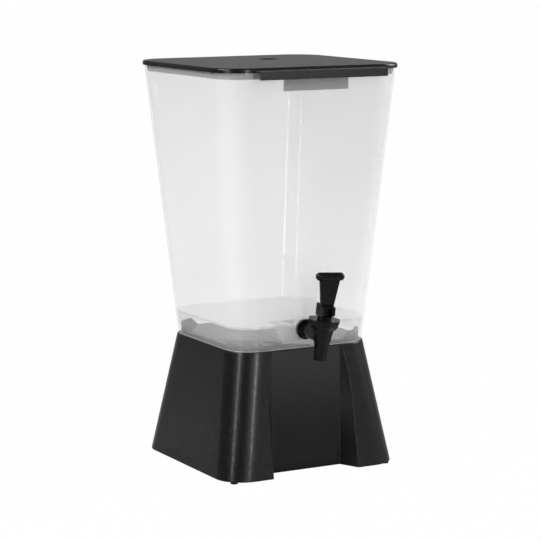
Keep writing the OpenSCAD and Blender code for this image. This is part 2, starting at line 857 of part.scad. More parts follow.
module lever() {
  bar_y0 = -paddle_t / 2;
  color(tap_black)
    at_pin() {
      difference() {
        translate([-ears_w / 2, 0, 0])
          rotate([90, 0, 90])
            linear_extrude(ears_w)
              ear_2d();
        translate([-slot_w / 2, -shelf_z, -cam_h - over])
          cube([slot_w, tap_reach, cam_h + over + shelf_z]);
        translate([-slot_w / 2, -tap_reach / 2, -cam_h - over])
          cube([slot_w, tap_reach / 2, cam_h + over + shelf_z - web_t]);
        bar_x(pin_d + 2 * pin_clear, ears_w + 2 * over);
      }
      rotate([90, 0, 0])
        linear_extrude(paddle_t)
          polygon([
            [-paddle_low_w / 2, shelf_z + over], [paddle_low_w / 2, shelf_z + over],
            [paddle_top_w / 2, bar_z - bar_d / 4], [paddle_top_w / 2, bar_z],
            [-paddle_top_w / 2, bar_z], [-paddle_top_w / 2, bar_z - bar_d / 4]
          ]);
      translate([0, bar_y0, bar_z]) {
        bar_x(bar_d, 2 * bar_end);
        for (x = [-bar_end, bar_end]) translate([x, 0, 0]) sphere(d = bar_d);
      }
    }
}

module lever_pin() {
  color(steel) at_pin() bar_x(pin_d, ears_w - 2 * pin_set);
}

base_shell();
foot_front_left();
foot_front_right();
foot_back_left();
foot_back_right();
reservoir();
lid();
tap_body();
outer_gasket();
inner_gasket();
slip_washer();
wing_nut();
bonnet();
bonnet_seal();
stem_seal();
valve_stem();
seat_cup();
stem_spring();
lever();
lever_pin();
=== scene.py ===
import math

import bmesh
import bpy
import numpy as np
from mathutils import Matrix, Vector


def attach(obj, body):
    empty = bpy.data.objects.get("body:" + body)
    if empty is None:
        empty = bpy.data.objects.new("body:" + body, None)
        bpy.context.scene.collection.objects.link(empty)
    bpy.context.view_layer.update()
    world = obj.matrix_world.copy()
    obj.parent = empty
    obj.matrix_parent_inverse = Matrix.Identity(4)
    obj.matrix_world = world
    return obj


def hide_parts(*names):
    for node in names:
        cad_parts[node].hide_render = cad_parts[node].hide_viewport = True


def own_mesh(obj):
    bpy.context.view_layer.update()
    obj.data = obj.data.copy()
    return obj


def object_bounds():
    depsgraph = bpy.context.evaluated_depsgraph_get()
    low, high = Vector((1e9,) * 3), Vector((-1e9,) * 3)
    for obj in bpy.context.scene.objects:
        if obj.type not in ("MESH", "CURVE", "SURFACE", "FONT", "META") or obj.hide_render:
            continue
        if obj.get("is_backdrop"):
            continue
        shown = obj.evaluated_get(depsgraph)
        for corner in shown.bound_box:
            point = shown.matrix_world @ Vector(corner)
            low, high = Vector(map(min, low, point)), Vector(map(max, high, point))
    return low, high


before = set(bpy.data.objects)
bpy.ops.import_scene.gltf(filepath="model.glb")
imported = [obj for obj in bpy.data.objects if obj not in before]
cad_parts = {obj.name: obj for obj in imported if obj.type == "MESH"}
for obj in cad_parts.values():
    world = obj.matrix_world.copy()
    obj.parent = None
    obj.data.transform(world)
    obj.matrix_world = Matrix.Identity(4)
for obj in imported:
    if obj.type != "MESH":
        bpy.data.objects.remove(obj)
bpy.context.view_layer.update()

# The stand: a hollow flared shell moulded in black plastic with a fine spark-eroded grain.
# The cup recess, with its smooth back panel and arched legs, is drawn out of the same skin.
# A smooth raised deck and four corner lugs on top keep the tank from sliding off.
MM = 0.001
MID_Y = 18.895
STAND_LOW, LEDGE_Z, DECK_TOP = 3.0, 174.0, 180.0
STAND_HALF, STAND_FLARE, STAND_R, STAND_WALL, LEDGE_R = 135.7, 28.9, 40.0, 3.0, 1.2
PANEL_HALF, PANEL_Y, PANEL_FILLET = 54.0, -106.0, 1.6
LEG_HALF, LEG_ARCH, LEG_EDGE_R, ARCH_Z = 66.8, 10.8, 2.5, 80.0
DECK_HALF, DECK_R, NOTCH_HALF, NOTCH_Y = 101.55, 35.8, 47.0, -68.35
LUG_REACH, LUG_FLAT, LUG_HIGH, LUG_LOW = 28.0, 19.0, 16.0, 6.0
ROOT_Z = LEDGE_Z - 0.6


def arc(start, stop, count):
    """Cosines and sines of angles in degrees, evenly spread from start to stop, one row for
    each start."""
    t = np.linspace(0, 1, count)
    angle = np.radians(np.asarray(start)[..., None] * (1 - t) + np.asarray(stop)[..., None] * t)
    return np.cos(angle), np.sin(angle)


def between(a, b, count):
    """Points strictly inside the straight line from a to b, one row for each pair of ends."""
    t = np.arange(1, count + 1) / (count + 1)
    return a[..., None] * (1 - t) + b[..., None] * t


def mirrored_loops(x, y, z):
    """Closed loops from their right halves, which run from the front middle to the back middle."""
    x = np.concatenate([x, -x[:, -2:0:-1]], 1)
    y = np.concatenate([y, y[:, -2:0:-1]], 1)
    return np.stack([x, y + MID_Y, np.broadcast_to(z[:, None], x.shape)], -1)


def square_sides(half, r):
    """Right half of a round-cornered square past its front face: corner, side, corner, back."""
    c = half - r
    cos, sin = arc(-90.0 + 0 * c, 0 * c, 17)
    front = c[:, None] + r[:, None] * cos, -c[:, None] + r[:, None] * sin
    side = between(half, half, 9), between(-c, c, 9)
    back_corner = c[:, None] - r[:, None] * sin, c[:, None] + r[:, None] * cos
    back = np.concatenate([between(c, 0 * c, 7), 0 * c[:, None]], 1), between(half, half, 8)
    return [np.concatenate(p, 1) for p in zip(front, side, back_corner, back)]


def stand_loops(z, inset):
    """Outlines of the stand at heights z, inset from its outer face: the recess's panel, a
    hollow fillet, the leg's inner side, its rounded edge, then the flared square. The width
    between the legs shrinks with the square of the height above the arch's start."""
    half = STAND_HALF - STAND_FLARE * (z - STAND_LOW) / (LEDGE_Z - STAND_LOW) - inset
    rise = np.maximum(0, (z - ARCH_Z) / (LEDGE_Z - ARCH_Z))
    panel_x, panel_y = PANEL_HALF + inset, PANEL_Y + inset
    edge_x, edge_y = LEG_HALF - LEG_ARCH * rise**2 + inset, -half
    length = np.hypot(edge_x - panel_x, edge_y - panel_y)
    ux, uy = (edge_x - panel_x) / length, (edge_y - panel_y) / length
    turn = np.degrees(np.arccos(ux))
    slope = np.tan(np.radians(turn / 2))
    fillet = np.minimum(PANEL_FILLET + inset, 0.25 * length / slope)
    edge_r = np.minimum(np.maximum(LEG_EDGE_R - inset, 0.6), 0.65 * length / slope)
    fillet_x = panel_x - fillet * slope
    panel = np.concatenate([0 * z[:, None], between(0 * z, fillet_x, 7)], 1), between(panel_y, panel_y, 8)
    cos, sin = arc(90 + 0 * turn, 90 - turn, 6)
    hollow = fillet_x[:, None] + fillet[:, None] * cos, (panel_y - fillet)[:, None] + fillet[:, None] * sin
    back = edge_r * slope
    centre_x, centre_y = edge_x - ux * back - uy * edge_r, edge_y - uy * back + ux * edge_r
    cos, sin = arc(np.degrees(np.arctan2(-ux, uy)), -90 + 0 * turn, 9)
    edge = centre_x[:, None] + edge_r[:, None] * cos, centre_y[:, None] + edge_r[:, None] * sin
    side = between(hollow[0][:, -1], edge[0][:, 0], 6), between(hollow[1][:, -1], edge[1][:, 0], 6)
    r = STAND_R - inset
    face = between(edge[0][:, -1], half - r, 5), between(-half, -half, 5)
    x, y = (np.concatenate(p, 1) for p in zip(panel, hollow, side, edge, face, square_sides(half, r)))
    return mirrored_loops(x, y, z)


def deck_loops(z, inset):
    """Outlines of the raised deck: a round-cornered square with a notch for the tank's sump."""
    half, notch, back = DECK_HALF - inset, NOTCH_HALF + inset, NOTCH_Y + inset
    front_x = between(notch, DECK_HALF - DECK_R + 0 * z, 3)
    x = [0 * z[:, None], between(0 * z, notch, 5), notch[:, None], notch[:, None], front_x]
    y = [between(back, back, 7), -half[:, None], between(-half, -half, 3)]
    sides = square_sides(half, DECK_R - inset)
    return mirrored_loops(np.concatenate([*x, sides[0]], 1), np.concatenate([*y, sides[1]], 1), z)


def lug_rings(corner):
    """A lug's section, a thin upright wall, carried along the deck's rounded corner by its
    distance d across the corner. Its top is straight in the middle and slopes at both ends,
    and its sides drop to a root inside the stand."""
    d = np.linspace(-LUG_REACH, LUG_REACH, 41)
    on_arc = np.clip(d / DECK_R, -math.sqrt(0.5), math.sqrt(0.5))
    a = np.radians(45 + 90 * corner) + np.arcsin(on_arc)
    past = (d - DECK_R * on_arc) * math.sqrt(2)
    out = np.stack([np.cos(a), np.sin(a)], -1)
    along = np.stack([-np.sin(a), np.cos(a)], -1)
    turn = math.radians(90 * corner)
    diagonal = np.array([math.cos(turn) - math.sin(turn), math.sin(turn) + math.cos(turn)])
    face = (DECK_HALF - DECK_R) * diagonal + DECK_R * out + past[:, None] * along
    top = LEDGE_Z + np.interp(abs(d), [LUG_FLAT, LUG_REACH], [LUG_HIGH, LUG_LOW])
    inward = np.array([0, 0, 0.25, 0.8, 3.2, 3.75, 4, 4])
    drop = np.array([np.inf, 0.8, 0.25, 0, 0, 0.25, 0.8, np.inf])
    height = np.maximum(top[:, None] - drop, ROOT_Z)
    flat = face[:, None] - inward[:, None] * out[:, None]
    return np.concatenate([flat + [0, MID_Y], height[..., None]], -1)


def skin(rings, loop=False):
    """Quads between neighbouring rings of points, each ring closed. Flat caps close the first
    and the last ring, or loop joins the last ring to the first instead."""
    n, m = rings.shape[:2]
    i, j = np.meshgrid(np.arange(n if loop else n - 1), np.arange(m), indexing="ij")
    up, on = (i + 1) % n, (j + 1) % m
    faces = np.stack([i * m + j, i * m + on, up * m + on, up * m + j], -1).reshape(-1, 4).tolist()
    if not loop:
        faces += [list(range(m - 1, -1, -1)), list(range((n - 1) * m, n * m))]
    return rings.reshape(-1, 3), faces


def turned(profile, place, steps=64, loop=False):
    """A profile of radii and heights turned about its own axis, in a given frame: a point is
    radius times (cos, sin) of the turn, and its height. A loop is a closed ring's section."""
    profile = np.asarray(profile, float)
    cos, sin = arc(np.zeros(1), np.full(1, 360.0 * (1 - 1 / steps)), steps)
    radius, height = profile[:, :1], profile[:, 1:]
    return skin(place(np.stack([radius * cos, radius * sin, height + 0 * cos], -1)), loop)


def make_piece(name, *parts):
    """One mesh from lists of points and faces, in millimetres. Faces point outwards, edges
    over 35 degrees stay crisp, and flat faces keep flat shading beside their round edges."""
    starts = np.cumsum([0] + [len(points) for points, part in parts])
    faces = [[k + start for k in face] for (points, part), start in zip(parts, starts) for face in part]
    mesh = bpy.data.meshes.new(name)
    mesh.from_pydata(np.concatenate([points for points, part in parts]) * MM, [], faces)
    edit = bmesh.new()
    edit.from_mesh(mesh)
    bmesh.ops.remove_doubles(edit, verts=edit.verts, dist=1e-7)
    bmesh.ops.recalc_face_normals(edit, faces=edit.faces)
    edit.to_mesh(mesh)
    edit.free()
    mesh.polygons.foreach_set("use_smooth", np.ones(len(mesh.polygons), bool))
    mesh.set_sharp_from_angle(angle=math.radians(35))
    piece = bpy.data.objects.new(name, mesh)
    bpy.context.scene.collection.objects.link(piece)
    piece.modifiers.new("flats", "WEIGHTED_NORMAL").keep_sharp = True
    return piece


class Wire:
    """An output socket in a material. Arithmetic with wires and numbers adds Math nodes."""

    def __init__(self, tree, socket):
        self.tree, self.socket = tree, socket

    def add(self, kind, settings=None, sockets=None, output=0):
        """A node of a kind: its settings are made first, then its sockets are set or linked."""
        node = self.tree.nodes.new(kind)
        for name, value in (settings or {}).items():
            setattr(node, name, value)
        for name, value in (sockets or {}).items():
            if isinstance(value, Wire):
                self.tree.links.new(value.socket, node.inputs[name])
            else:
                node.inputs[name].default_value = value
        return Wire(self.tree, node.outputs[output])

    def math(self, operation, a, b=0.0):
        return self.add("ShaderNodeMath", {"operation": operation}, {0: a, 1: b})

    def __add__(self, other):
        return self.math("ADD", self, other)

    __radd__ = __add__

    def __sub__(self, other):
        return self.math("SUBTRACT", self, other)

    def __rsub__(self, other):
        return self.math("SUBTRACT", other, self)

    def __mul__(self, other):
        return self.math("MULTIPLY", self, other)

    __rmul__ = __mul__

    def __abs__(self):
        return self.math("ABSOLUTE", self)

    def most(self, other):
        """The larger of two values."""
        return self.math("MAXIMUM", self, other)

    def step(self, low, high):
        """Rises smoothly from 0 where the value is low to 1 where it is high."""
        sockets = {"Value": self, "From Min": low, "From Max": high}
        return self.add("ShaderNodeMapRange", {"interpolation_type": "SMOOTHSTEP"}, sockets)

    def noise(self, scale, detail=2.0, rough=0.5):
        """Cloudy noise over these coordinates, about 0.5, with so many waves in a metre."""
        sockets = {"Vector": self, "Scale": scale, "Detail": detail, "Roughness": rough}
        return self.add("ShaderNodeTexNoise", None, sockets)

    def stretched(self, x, y, z):
        """These coordinates scaled along each axis, which draws a pattern out or in."""
        return self.add("ShaderNodeMapping", None, {"Vector": self, "Scale": (x, y, z)})

    def axes(self, unit=1.0):
        """The three parts of these coordinates, in a unit."""
        split = self.add("ShaderNodeSeparateXYZ", None, {"Vector": self})
        return [Wire(self.tree, socket) * (1 / unit) for socket in split.socket.node.outputs]

    def colours(self, low, high):
        """A colour between two, as this value goes from 0 to 1."""
        return self.add("ShaderNodeMix", {"data_type": "RGBA"}, {0: self, 6: (*low, 1), 7: (*high, 1)}, 2)


def new_finish(name, **steady):
    """A material of one shader, with steady values on the shader's own sockets. Returns the
    material, its shader and the object's own coordinates."""
    material = bpy.data.materials.new(name)
    material.use_nodes = True
    tree = material.node_tree
    shader = tree.nodes["Principled BSDF"]
    for socket, value in steady.items():
        shader.inputs[socket.replace("_", " ")].default_value = value
    place = tree.nodes.new("ShaderNodeTexCoord")
    return material, shader, Wire(tree, place.outputs["Object"])


def feed(shader, height, depth, strength, **wires):
    """Links wires to the shader's sockets, and a height through a Bump node to its normal."""
    tree = shader.id_data
    for name, wire in wires.items():
        tree.links.new(wire.socket, shader.inputs[name.replace("_", " ")])
    sockets = {"Height": height, "Distance": depth, "Strength": strength}
    tree.links.new(height.add("ShaderNodeBump", None, sockets).socket, shader.inputs["Normal"])


def dress(piece, material, body, slot, *nodes):
    """Gives a piece its finish and its body, and hides the nodes that it stands for. The slot is not used."""
    piece.data.materials.append(material)
    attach(piece, body)
    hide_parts(*nodes)


quarter = np.radians(np.linspace(0, 90, 6))
inside_z = np.concatenate([[171], np.linspace(168, ARCH_Z, 20), [55, 30, 4.2]])
outside_z = np.concatenate([[4, 30, 55], np.linspace(ARCH_Z, 172, 30)])
hem_z, hem_inset = [3.3, 3, 3, 3.25], [2.75, 2.2, 0.8, 0.25]
stand_z = np.concatenate([inside_z, hem_z, outside_z, LEDGE_Z - LEDGE_R * (1 - np.sin(quarter))])
stand_inset = np.concatenate([
    np.full(len(inside_z), STAND_WALL), hem_inset, np.zeros(len(outside_z)), LEDGE_R * (1 - np.cos(quarter))])
deck_z = np.array([ROOT_Z, DECK_TOP - 1, DECK_TOP - 0.7, DECK_TOP - 0.3, DECK_TOP])
deck_inset = np.array([0, 0, 0.07, 0.3, 1.0])
FOOT_SPOT = 119.74
corners = [(x, y) for x in (-1, 1) for y in (-1, 1)]


def at_foot(x, y):
    """Moves points to one of the four places of a foot."""
    return lambda points: points + [x * FOOT_SPOT, y * FOOT_SPOT + MID_Y, 0]


foot_post = [(0, 9.05), (2.55, 9.05), (2.55, 3), (3.4, 3), (3.4, 12.2), (3.1, 12.5), (0, 12.5)]
stand = make_piece(
    "stand",
    skin(stand_loops(stand_z, stand_inset)),
    skin(deck_loops(deck_z, deck_inset)),
    *[skin(lug_rings(corner)) for corner in range(4)],
    *[turned(foot_post, at_foot(x, y)) for x, y in corners])

# The panel is smooth, and its coat fades out towards its bottom, painted shade that darkens its lower part; the
# deck is smooth all over.
stand_grain, shader, place = new_finish("stand_grain", Specular_IOR_Level=0.3, Coat_Roughness=0.18)
x, y, z = place.axes(MM)
off_panel = y - (MID_Y + PANEL_Y)
near_panel = off_panel.step(-2.9, -0.9) * (1 - off_panel.step(1.6, 3.6))
panel = (1 - abs(x).step(PANEL_HALF - 1.5, PANEL_HALF + 0.5)) * near_panel
# Painted shade: the coat on the panel fades out towards its bottom.
painted_shade_coat = panel * z.step(50, 190)
deck = z.step(DECK_TOP - 1.5, DECK_TOP - 0.5) * (1 - z.step(DECK_TOP + 0.3, DECK_TOP + 0.8))
grain = place.noise(450, 4.0, 0.7).step(0.34, 0.66)
cloud = place.noise(22, 3.0)
feed(
    shader, grain * (1 - 0.9 * panel - 0.9 * deck), 0.0003, 0.22,
    Base_Color=(0.6 * grain + 0.4 * cloud).colours((0.001, 0.001, 0.0011), (0.009, 0.009, 0.0091)),
    Roughness=0.26 + 0.06 * grain + 0.05 * cloud - 0.16 * panel - 0.2 * deck,
    Coat_Weight=painted_shade_coat + deck + 0.55 * grain * (1 - panel - deck))
dress(stand, stand_grain, "stand", "stand_plastic", "base_shell")

# The feet: four small round pads of soft black rubber, each with a stem that is pressed
# into a post inside a corner of the stand.
FOOT_R, FOOT_EDGE = 5.0, 1.0
foot_rubber, shader, place = new_finish("foot_rubber", Specular_IOR_Level=0.25)
mottle = place.noise(900, 3.0)
feed(
    shader, mottle, 0.0002, 0.4,
    Base_Color=mottle.colours((0.008, 0.008, 0.008), (0.02, 0.02, 0.02)),
    Roughness=0.72 + 0.2 * mottle)
edge_cos, edge_sin = arc(-90.0, 0.0, 6)
foot_edge = np.stack([FOOT_R - FOOT_EDGE + FOOT_EDGE * edge_cos, FOOT_EDGE + FOOT_EDGE * edge_sin], -1)
foot_line = [(0, 0), (3.2, 0), *foot_edge, (FOOT_R, 2.7), (4.7, 3), (2.5, 3), (2.5, 8.6), (2.1, 9), (0, 9)]
for x, y in corners:
    name = f"foot_{'front' if y < 0 else 'back'}_{'left' if x < 0 else 'right'}"
    foot = make_piece(name + "_pad", turned(foot_line, at_foot(x, y), 40))
    dress(foot, foot_rubber, "stand", "foot_rubber", name)

# The tank: a tapered square tub, moulded in one piece from milky, clear polypropylene with
# a glossy skin. Its floor lies above an open skirt, with a half-oval sump behind the tap.
# It stands on the stand's ledge, round the deck, and lifts straight off.
TANK_TOP, TANK_LOW_HALF, TANK_R, TANK_WALL, RIM_R, SKIRT_R = 556.5, 105.35, 39.6, 2.8, 1.2, 0.8
TANK_SLOPE = 33.6 / (TANK_TOP - LEDGE_Z)
FLOOR_LOW, FLOOR_HIGH, INTO_WALL = 205.0, 208.0, 0.05
SUMP_HALF, SUMP_DEEP, SUMP_LONG = 46.0, 33.0, 36.0


def tank_half(z):
    """Half the tank's outside width at height z, which grows evenly upwards."""
    return TANK_LOW_HALF + TANK_SLOPE * (np.asarray(z, float) - LEDGE_Z)


def square_loops(half, r, z):
    """Round-cornered squares of half widths and corner radii at heights z."""
    c = half - r
    front = np.concatenate([0 * z[:, None], between(0 * c, c, 7)], 1), between(-half, -half, 8)
    x, y = (np.concatenate(p, 1) for p in zip(front, square_sides(half, r)))
    return mirrored_loops(x, y, z)


def tub_rings():
    """The tub's wall as rings up its outside, over the rim, down its inside and round its foot."""
    turn = np.radians(np.linspace(0, 180, 11))
    across = TANK_WALL / 2 * (1 - np.cos(turn))
    rim_z = TANK_TOP - RIM_R * (1 - np.sin(turn))
    skirt_z = LEDGE_Z + SKIRT_R * (1 - np.sin(turn))
    up = np.concatenate([[178, 205], np.linspace(235, 545, 12), [553]])
    z = np.concatenate([skirt_z[::-1], up, rim_z, up[::-1]])
    inset = np.concatenate([across[::-1], 0 * up, across, 0 * up + TANK_WALL])
    return square_loops(tank_half(z) - inset, TANK_R - inset, z)


def floor_sheet(inset, top):
    """One face of the floor. Across it, x follows the sump's half oval between two flats. The
    rows run from the front wall (share 0) over the sump's end wall (share 1), where the depth
    fades evenly to nothing, to the back wall (share 2)."""
    half, deep, back = SUMP_HALF - inset, SUMP_DEEP - inset, SUMP_LONG - inset - TANK_LOW_HALF
    turn = np.pi * (1 - np.linspace(0, 1, 41))
    flat = np.linspace(0, 1, 13)
    share = np.concatenate([np.linspace(0, 1, 10)[:-1], np.ones(9), 1 + np.linspace(0, 1, 26)[1:]])[:, None]
    fade = np.concatenate([np.ones(9), np.linspace(1, 0, 9), np.zeros(25)])[:, None]
    level = np.zeros((len(share), 12))
    z = top - np.concatenate([level, fade * deep * np.sin(turn), level], 1)
    edge, corner = tank_half(top) - TANK_WALL + INTO_WALL, TANK_R - TANK_WALL + INTO_WALL
    wall = -(tank_half(z) - TANK_WALL + INTO_WALL)
    y = np.where(share <= 1, wall + (back - wall) * share, back + (edge - back) * (share - 1))
    over = np.clip(np.abs(y) - (edge - corner), 0, corner)
    width = edge - corner + np.sqrt(np.maximum(corner**2 - over**2, 0))
    left = -width[:, :12] + (width[:, :12] - half) * flat[:-1]
    right = half + (width[:, -12:] - half) * flat[1:]
    x = np.concatenate([left, half * np.cos(turn) + 0 * share, right], 1)
    return np.stack([x, y + MID_Y, z], -1)


def floor_part():
    """The floor's two faces, joined round their edge into one closed sheet."""
    upper, lower = floor_sheet(TANK_WALL, FLOOR_HIGH), floor_sheet(0, FLOOR_LOW)
    n, m = upper.shape[:2]
    i, j = np.meshgrid(np.arange(n - 1), np.arange(m - 1), indexing="ij")
    quads = np.stack([i * m + j, i * m + j + 1, (i + 1) * m + j + 1, (i + 1) * m + j], -1).reshape(-1, 4)
    edge = np.concatenate([
        np.arange(m), np.arange(2 * m - 1, n * m, m), np.arange(n * m - 2, (n - 1) * m - 1, -1),
        np.arange((n - 2) * m, 0, -m)])
    rim = np.stack([edge, np.roll(edge, -1), np.roll(edge, -1) + n * m, edge + n * m], -1)
    faces = np.concatenate([quads, quads[:, ::-1] + n * m, rim]).tolist()
    return np.concatenate([upper.reshape(-1, 3), lower.reshape(-1, 3)]), faces


# A thin coat of milk, as alpha, is thicker in the floor and the sump than in the wall. Alpha
# thins the gloss as well, and the high index makes up for that. The flat walls are rougher
# than the corners, and the floor is roughest, so that no lamp shows sharply in them. The
# floor's colour is whiter than the walls', painted light for the light that the lid keeps
# from it, and the skirt's foot is drawn thicker in milk, a bright line that is partly its
# edge seen end on and partly a painted highlight.
tank = make_piece("tank", skin(tub_rings(), loop=True), floor_part())
tank_milk, shader, place = new_finish("tank_milk", IOR=2.1)
x, y, z = place.axes(MM)
straight = TANK_LOW_HALF - TANK_R + TANK_SLOPE * (z - LEDGE_Z)
out_x, out_y = ((abs(side) - straight).most(0.0) for side in (x, y - MID_Y))
inside_r = TANK_R - TANK_WALL
wall = (out_x * out_x + out_y * out_y).step((inside_r - 0.6)**2, (inside_r - 0.2)**2)
corner = out_x.step(0, 4) * out_y.step(0, 4)
above = z.step(FLOOR_LOW - 2.8, FLOOR_LOW - 1.6)
floor_share = (1 - wall) * above * (1 - z.step(FLOOR_HIGH + 1, FLOOR_HIGH + 2))
sump = (1 - wall) * (1 - above)
skirt = wall * (1 - z.step(LEDGE_Z, LEDGE_Z + 18))
# Partly painted highlight: the skirt's lowest millimetre is drawn thicker in milk, which shows as a bright line
# along its foot.
skirt_foot_highlight = 1 - z.step(LEDGE_Z + 0.4, LEDGE_Z + 1.1)
streak = place.stretched(1, 1, 0.06).noise(90, 3.0)
cloud = place.noise(14, 2.0)
milk = 0.236 + 0.008 * streak + 0.004 * cloud
feed(
    shader, streak, 0.0002, 0.003,
    # Painted light: the floor is drawn whiter than the walls.
    Base_Color=((0.8 + 0.2 * streak) * (1 - floor_share)).colours((0.99, 0.99, 0.99), (0.9, 0.905, 0.91)),
    Alpha=milk + 0.5 * floor_share + 0.35 * sump - 0.11 * skirt + 0.25 * skirt_foot_highlight,
    Roughness=0.035 + 0.01 * cloud + 0.3 * floor_share + 0.2 * (1 - corner) * wall)
dress(tank, tank_milk, "tank", "tank_plastic", "reservoir")

# The lid: a shallow crowned plate moulded in black plastic with a coarse leather grain on
# top. A plug skirt and a deeper front tab sit inside the tank's edge, a dimple marks the
# gate in the middle, and a pull lip with a turned-down flange stands out in front.
LID_HALF, LID_R, LID_TOP, LID_EDGE, CROWN = 141.4, 42.4, 560.8, 2.8, 2.8
TAB_HALF, TAB_LOW, TAB_TOP, TAB_R, TAB_IN = 49.5, 528.5, 552.0, 1.5, 3.2
LIP_HALF, LIP_FRONT, LIP_TOP, LIP_FOOT, LIP_R = 97.5, LID_HALF + 16.5, 557.2, 545.5, 1.0
LIP_SHELF, LIP_FLANGE, LIP_END = 3.0, 4.0, 0.6


def lid_rings():
    """The lid from its flat underside out over plug, rim and crown to the dimple.
    The crown rises as a parabola of the inset; its rounded squares pass into circles."""
    under = np.array([
        (133.75, 34.4, 556.5), (132.85, 34.4, 546.3), (132.95, 34.6, 545.8), (133.4, 35.0, 545.5),
        (134.2, 35.9, 545.5), (134.7, 36.3, 545.8), (134.85, 36.4, 546.3), (135.75, 36.4, 556.5),
        (139.35, 40.0, 556.5), (139.35, 40.0, 554.6), (139.55, 40.2, 554.4), (140.9, 41.9, 554.4),
        (141.25, 42.25, 554.55), (141.4, 42.4, 554.9)])
    s = np.array([0.01, 0.03, 0.06, 0.1, 0.16, 0.24, 0.34, 0.45, 0.56, 0.66, 0.75, 0.82, 0.87])
    edge = LID_EDGE * (1 - np.cos(quarter))
    inset = np.concatenate([edge, LID_EDGE + s * (LID_HALF - LID_EDGE)])
    z = np.concatenate([LID_TOP - LID_EDGE * (1 - np.sin(quarter)), LID_TOP + CROWN * s * (2 - s)])
    over = np.stack([LID_HALF - inset, LID_R * (1 - inset / LID_HALF), z], -1)
    rings = square_loops(*np.concatenate([under, over]).T)
    middle = np.array([0, MID_Y, 0])
    flat = rings[:, :, :2] - middle[:2]
    around = np.arctan2(flat[-1, :, 1], flat[-1, :, 0])
    circle = np.stack([np.cos(around), np.sin(around)], -1)
    ease = np.clip((np.arange(len(rings)) - len(rings) + 6) / 5, 0, 1)[:, None, None]
    reach = np.abs(flat[:, :1, 1:])
    rings[:, :, :2] = flat * (1 - ease) + reach * circle * ease + middle[:2]
    dimple = np.array([
        (14.6, 563.58), (14.0, 563.56), (13.8, 563.5), (13.7, 563.35), (13.67, 563.15), (13.45, 560.25),
        (13.4, 560.05), (13.25, 559.85), (12.9, 559.65), (12.5, 559.6), (2, 559.6)])
    radius, height = dimple[:, :1, None], dimple[:, 1:, None]
    bowl = np.concatenate([radius * circle, height + 0 * circle[:, :1]], -1)
    return np.concatenate([rings, bowl + middle])


def rounded_plates(half_x, low, high, r, count):
    """Closed outlines of plates with round corners, one row for each plate: across it, and
    between its low and high side. Each corner is an arc of so many points."""
    half_x, low, high, r = (v[:, None, None] for v in np.broadcast_arrays(half_x, low, high, r))
    cos, sin = arc(np.array([-90.0, 0, 90, 180]), np.array([0.0, 90, 180, 270]), count)
    x = np.array([[1], [1], [-1], [-1]]) * (half_x - r) + r * cos
    z = np.where([[True], [False], [False], [True]], low + r, high - r) + r * sin
    return x.reshape(len(x), -1), z.reshape(len(z), -1)


def tab_rings():
    """The front tab: a plate that leans with the tank's wall, its edges eased."""
    depth = np.array([0, 0.12, 0.35, 1.65, 1.88, 2])
    ease = np.array([0.35, 0.12, 0, 0, 0.12, 0.35])
    x, z = rounded_plates(TAB_HALF - ease, TAB_LOW + ease, TAB_TOP, TAB_R - ease, 6)
    return np.stack([x, MID_Y - (tank_half(z) - TAB_IN - depth[:, None]), z], -1)


def lip_rings():
    """The pull lip's angle section, shelf and flange, carried along X with eased ends. An
    inset ring moves each point along the normal of its neighbours' chord."""
    cos, sin = arc(90.0, 0.0, 7)
    inner = LIP_FRONT - LIP_FLANGE
    outer = np.stack([LIP_FRONT - LIP_R + LIP_R * cos, LIP_TOP - LIP_R + LIP_R * sin], -1)
    foot = np.array([
        (LIP_FRONT, LIP_FOOT + 0.5), (LIP_FRONT - 0.15, LIP_FOOT + 0.15), (LIP_FRONT - 0.5, LIP_FOOT),
        (inner + 0.5, LIP_FOOT), (inner + 0.15, LIP_FOOT + 0.15), (inner, LIP_FOOT + 0.5)])
    under = LIP_TOP - LIP_SHELF
    fillet = np.stack([inner - LIP_R + LIP_R * cos[::-1], under - LIP_R + LIP_R * sin[::-1]], -1)
    root = LID_HALF - 1.2
    line = np.concatenate([[(root, LIP_TOP)], outer, foot, fillet, [(root, under)]])
    chord = np.roll(line, -1, 0) - np.roll(line, 1, 0)
    normal = np.stack([chord[:, 1], -chord[:, 0]], -1) / np.linalg.norm(chord, axis=1)[:, None]
    end_inset, end_x = LIP_END * (1 - np.sin(quarter)), LIP_HALF - LIP_END * (1 - np.cos(quarter))
    x = np.concatenate([-end_x, [-60, -20, 20, 60], end_x[::-1]])
    inset = np.concatenate([end_inset, np.zeros(4), end_inset[::-1]])
    flat = line + inset[:, None, None] * normal
    return np.stack([x[:, None] + 0 * flat[..., 0], MID_Y - flat[..., 0], flat[..., 1]], -1)


# The grain is on the top alone. The dimple is drawn as black metal, which takes away the gloss
# that plastic would have: painted shade that keeps it dark.
lid = make_piece("lid_shell", skin(lid_rings()), skin(tab_rings()), skin(lip_rings()))
lid_leather, shader, place = new_finish("lid_leather", Specular_IOR_Level=0.3, Coat_Roughness=0.4)
x, y, z = place.axes(MM)
off_y = y - MID_Y
dimple = 1 - (x * x + off_y * off_y).step(13.8**2, 14.1**2)
top = z.step(LID_TOP - 0.8, LID_TOP) * (1 - dimple)
lip = (-1 * off_y).step(LID_HALF + 0.3, LID_HALF + 0.6)
pebble = place.add(
    "ShaderNodeTexVoronoi", {"feature": "SMOOTH_F1"}, {"Vector": place, "Scale": 240.0, "Smoothness": 0.5})
grain = place.noise(150, 5.0, 0.75).step(0.36, 0.64)
cloud = place.noise(18, 3.0)
feed(
    shader, top * (pebble + 0.2 * grain), 0.001, 0.5,
    Base_Color=(0.5 * grain + 0.5 * cloud).colours((0.002, 0.002, 0.0021), (0.012, 0.012, 0.0121)),
    Roughness=0.26 + 0.03 * cloud + top * (0.08 + 0.14 * grain) + 0.3 * dimple,
    Coat_Weight=0.6 * top * grain + 0.9 * lip,
    # Painted shade: a black metallic dimple reflects almost nothing.
    Metallic=dimple)
dress(lid, lid_leather, "lid", "lid_plastic", "lid")

